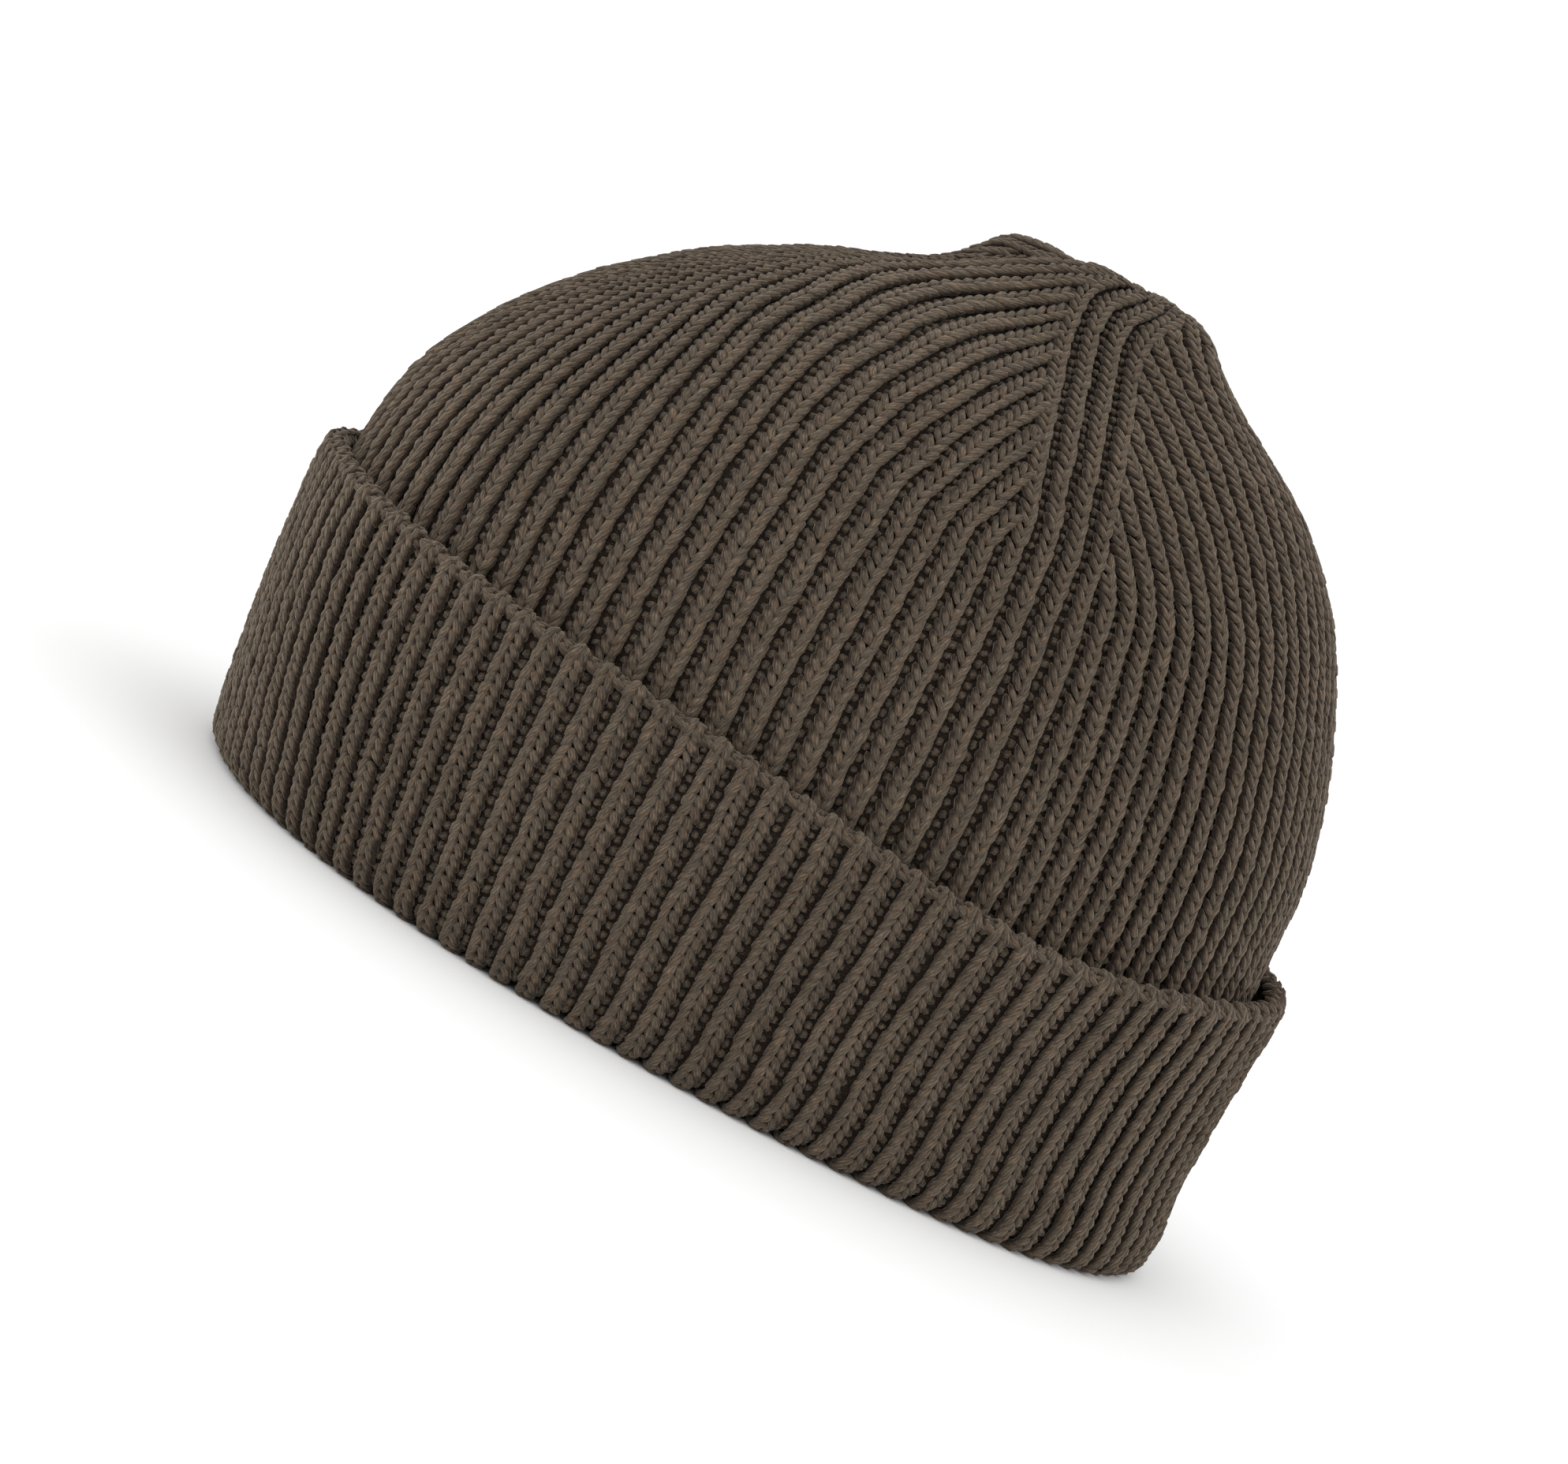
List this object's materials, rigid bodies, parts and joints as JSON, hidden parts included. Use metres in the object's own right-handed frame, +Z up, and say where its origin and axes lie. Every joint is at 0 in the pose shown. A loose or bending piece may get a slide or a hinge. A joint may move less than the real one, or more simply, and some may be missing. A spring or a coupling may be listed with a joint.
{
  "type": "cuffed beanie",
  "caption": "Dark olive brown rib-knit cap with a domed crown shaped by darts and a doubled turned-up cuff, standing on its rim",
  "frame": {"origin": "middle of the footprint, on the surface that the rim stands on", "axes": "+Z up to the tip, -Y towards the forehead, +X towards the wearer's left"},
  "size_m": [0.1767, 0.2278, 0.1709],
  "materials": {
    "crown_knit": "soft matt rib knit with a short fuzz",
    "cuff_knit": "soft matt rib knit with a short fuzz"
  },
  "bodies": {
    "root": {"crown": "crown_knit", "cuff": "cuff_knit"}
  },
  "joints": []
}
